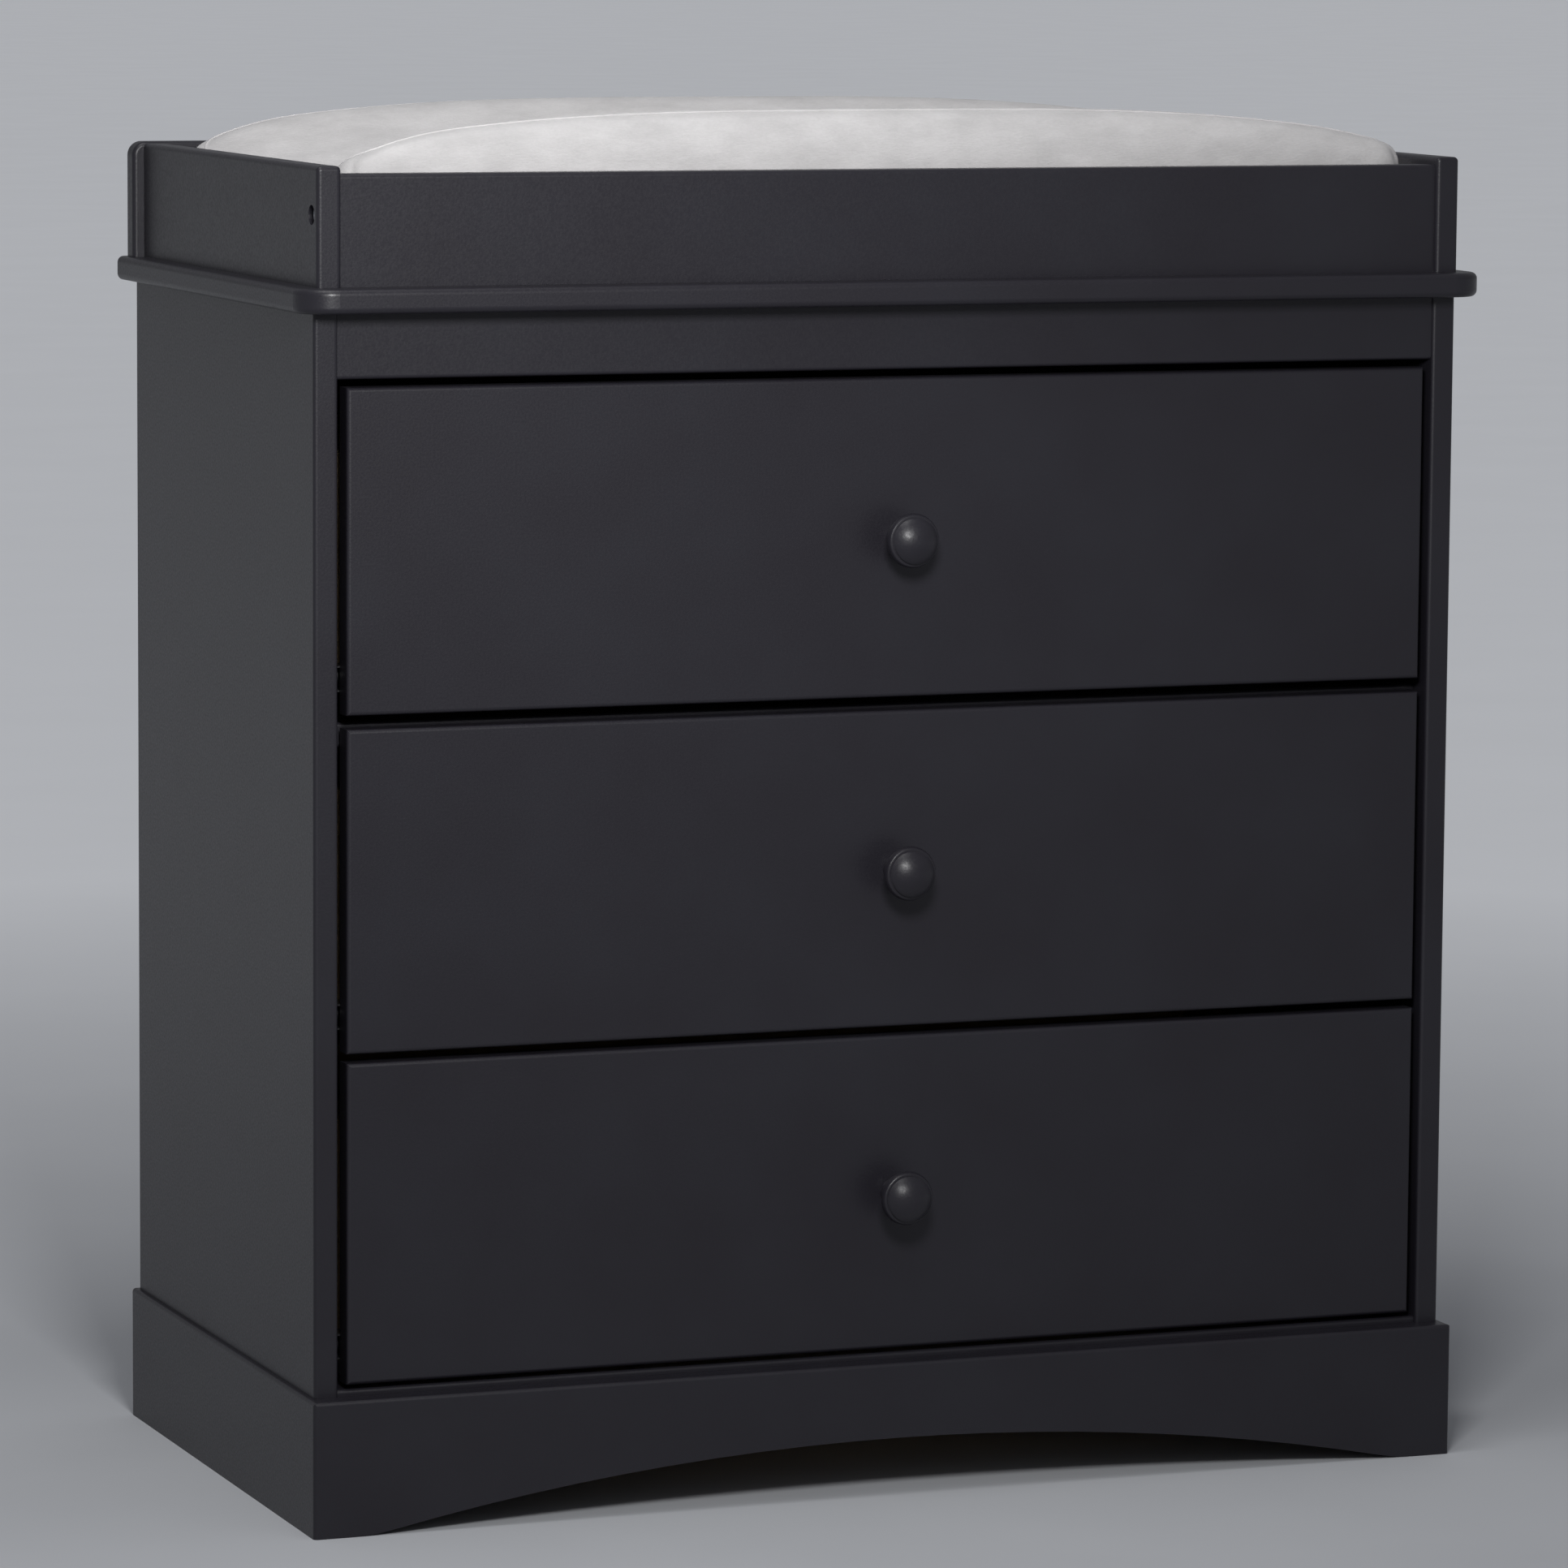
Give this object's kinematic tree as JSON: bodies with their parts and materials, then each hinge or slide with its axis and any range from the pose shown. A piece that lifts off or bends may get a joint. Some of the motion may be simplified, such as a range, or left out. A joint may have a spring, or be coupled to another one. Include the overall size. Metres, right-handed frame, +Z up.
{
  "type": "changing table",
  "caption": "Painted dresser with knobbed drawers on roller runners, an arched plinth, a railed changing tray on top and a contoured changing pad in it.",
  "frame": {"origin": "centre of the whole object's box, on the floor", "axes": "+X to the right and +Y to the back as someone stands in front of it, +Z up"},
  "size_m": [0.972, 0.518, 1.0748],
  "materials": {
    "painted_board": "satin charcoal paint",
    "back_sheet": "matt dark foil on hardboard",
    "drawer_board": "matt birch-look board",
    "bare_wood": "unfinished softwood",
    "coated_steel": "black epoxy coat",
    "zinc_steel": "zinc plate",
    "black_nylon": "moulded",
    "joiner_plastic": "extruded",
    "pad_cover": "soft knitted plush"
  },
  "bodies": {
    "cabinet": {"left_side_panel": "painted_board", "right_side_panel": "painted_board", "top_panel": "painted_board", "upper_back_panel": "back_sheet", "lower_back_panel": "back_sheet", "back_panel_joiner": "joiner_plastic", "top_front_rail": "painted_board", "top_rear_rail": "painted_board", "middle_rail": "painted_board", "bottom_front_rail": "painted_board", "bottom_rear_rail": "painted_board", "plinth_front": "painted_board", "plinth_left": "painted_board", "plinth_right": "painted_board", "plinth_rear": "painted_board", "plinth_corner_blocks": "bare_wood", "upper_case_runners": "coated_steel", "middle_case_runners": "coated_steel", "lower_case_runners": "coated_steel", "case_runner_screws": "zinc_steel", "rail_cam_bolts": "zinc_steel", "rail_cam_locks": "zinc_steel", "topper_left_side": "painted_board", "topper_right_side": "painted_board", "topper_front_rail": "painted_board", "topper_rear_rail": "painted_board", "topper_bolts": "zinc_steel", "topper_barrel_nuts": "zinc_steel", "topper_brackets": "coated_steel", "changing_pad": "pad_cover"},
    "upper_drawer": {"upper_drawer_front": "painted_board", "upper_drawer_left_side": "drawer_board", "upper_drawer_right_side": "drawer_board", "upper_drawer_back": "drawer_board", "upper_drawer_bottom": "drawer_board", "upper_drawer_knob": "painted_board", "upper_drawer_knob_screw": "zinc_steel", "upper_drawer_runners": "coated_steel"},
    "upper_rear_rollers": {"upper_rear_rollers": "black_nylon"},
    "upper_front_rollers": {"upper_front_rollers": "black_nylon"},
    "middle_drawer": {"middle_drawer_front": "painted_board", "middle_drawer_left_side": "drawer_board", "middle_drawer_right_side": "drawer_board", "middle_drawer_back": "drawer_board", "middle_drawer_bottom": "drawer_board", "middle_drawer_knob": "painted_board", "middle_drawer_knob_screw": "zinc_steel", "middle_drawer_runners": "coated_steel"},
    "middle_rear_rollers": {"middle_rear_rollers": "black_nylon"},
    "middle_front_rollers": {"middle_front_rollers": "black_nylon"},
    "lower_drawer": {"lower_drawer_front": "painted_board", "lower_drawer_left_side": "drawer_board", "lower_drawer_right_side": "drawer_board", "lower_drawer_back": "drawer_board", "lower_drawer_bottom": "drawer_board", "lower_drawer_knob": "painted_board", "lower_drawer_knob_screw": "zinc_steel", "lower_drawer_runners": "coated_steel"},
    "lower_rear_rollers": {"lower_rear_rollers": "black_nylon"},
    "lower_front_rollers": {"lower_front_rollers": "black_nylon"}
  },
  "joints": [
    {"name": "upper_drawer_slide", "type": "slide", "parent": "cabinet", "child": "upper_drawer", "axis": [0, -1, 0], "range_m": [0, 0.3]},
    {"name": "upper_rear_roller_spin", "type": "hinge", "parent": "upper_drawer", "child": "upper_rear_rollers", "pos_m": [0, 0.184, 0.6486], "axis": [1, 0, 0], "continuous": true},
    {"name": "upper_front_roller_spin", "type": "hinge", "parent": "cabinet", "child": "upper_front_rollers", "pos_m": [0, -0.182, 0.6507], "axis": [1, 0, 0], "continuous": true},
    {"name": "middle_drawer_slide", "type": "slide", "parent": "cabinet", "child": "middle_drawer", "axis": [0, -1, 0], "range_m": [0, 0.3]},
    {"name": "middle_rear_roller_spin", "type": "hinge", "parent": "middle_drawer", "child": "middle_rear_rollers", "pos_m": [0, 0.184, 0.3921], "axis": [1, 0, 0], "continuous": true},
    {"name": "middle_front_roller_spin", "type": "hinge", "parent": "cabinet", "child": "middle_front_rollers", "pos_m": [0, -0.182, 0.3942], "axis": [1, 0, 0], "continuous": true},
    {"name": "lower_drawer_slide", "type": "slide", "parent": "cabinet", "child": "lower_drawer", "axis": [0, -1, 0], "range_m": [0, 0.3]},
    {"name": "lower_rear_roller_spin", "type": "hinge", "parent": "lower_drawer", "child": "lower_rear_rollers", "pos_m": [0, 0.184, 0.1391], "axis": [1, 0, 0], "continuous": true},
    {"name": "lower_front_roller_spin", "type": "hinge", "parent": "cabinet", "child": "lower_front_rollers", "pos_m": [0, -0.182, 0.1412], "axis": [1, 0, 0], "continuous": true}
  ],
  "couplings": [
    {"joint": "upper_rear_roller_spin", "follows": "upper_drawer_slide", "rad_per_m": 133.33},
    {"joint": "upper_front_roller_spin", "follows": "upper_drawer_slide", "rad_per_m": 133.33},
    {"joint": "middle_rear_roller_spin", "follows": "middle_drawer_slide", "rad_per_m": 133.33},
    {"joint": "middle_front_roller_spin", "follows": "middle_drawer_slide", "rad_per_m": 133.33},
    {"joint": "lower_rear_roller_spin", "follows": "lower_drawer_slide", "rad_per_m": 133.33},
    {"joint": "lower_front_roller_spin", "follows": "lower_drawer_slide", "rad_per_m": 133.33}
  ]
}
